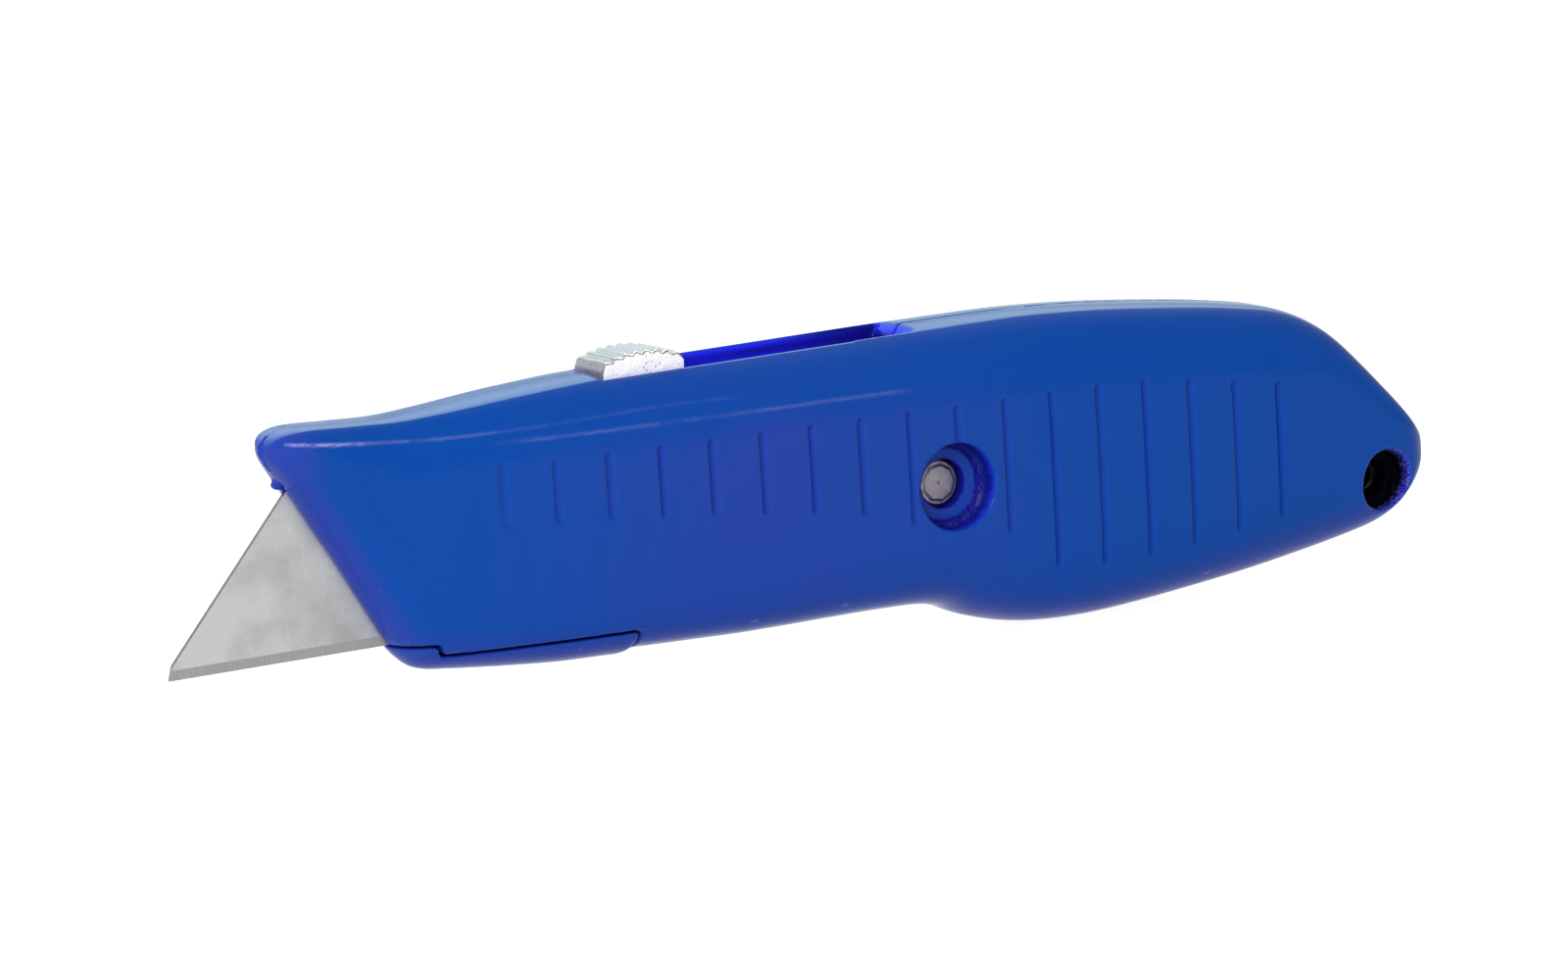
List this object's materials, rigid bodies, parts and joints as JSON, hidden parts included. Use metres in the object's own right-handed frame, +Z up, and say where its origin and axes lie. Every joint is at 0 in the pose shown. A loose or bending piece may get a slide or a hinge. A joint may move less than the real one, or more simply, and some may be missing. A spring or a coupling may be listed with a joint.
{
  "type": "utility knife",
  "caption": "Retractable utility knife with a two-piece cast handle, sliding thumb button, trapezoid blade, spare blades inside and a lanyard hole.",
  "frame": {"origin": "centre of the lanyard hole, on the parting plane between the two handle halves", "axes": "+X along the handle from the blade towards the tail, which is the way the blade draws back; +Y from the left half to the right half; +Z up, the side the thumb button is on"},
  "size_m": [0.1629, 0.0202, 0.0383],
  "materials": {
    "body_paint": "glossy blue paint on a die-cast zinc handle",
    "screw_steel": "dull machined steel",
    "blade_steel": "bright rolled carbon steel with a ground edge",
    "carrier_metal": "bare die-cast",
    "button_metal": "bare die-cast, rough on the sides and rubbed bright on the ridges",
    "spring_steel": "blued spring strip"
  },
  "bodies": {
    "casing": {"body_left": "body_paint", "body_right": "body_paint", "body_screw": "screw_steel", "spare_blade_1": "blade_steel", "spare_blade_2": "blade_steel", "spare_blade_3": "blade_steel", "spare_blade_4": "blade_steel", "spare_blade_5": "blade_steel"},
    "slide": {"blade_carrier": "carrier_metal", "blade": "blade_steel", "button_spring": "spring_steel"},
    "button": {"thumb_button": "button_metal"}
  },
  "joints": [
    {"name": "blade_slide", "type": "slide", "parent": "casing", "child": "slide", "axis": [1, 0, 0], "range_m": [0, 0.0275]},
    {"name": "button_press", "type": "slide", "parent": "slide", "child": "button", "axis": [0, 0, -1], "range_m": [0, 0.0009], "stiffness_N_per_m": 600, "springref_m": -0.0005, "deforming": ["button_spring"]}
  ]
}
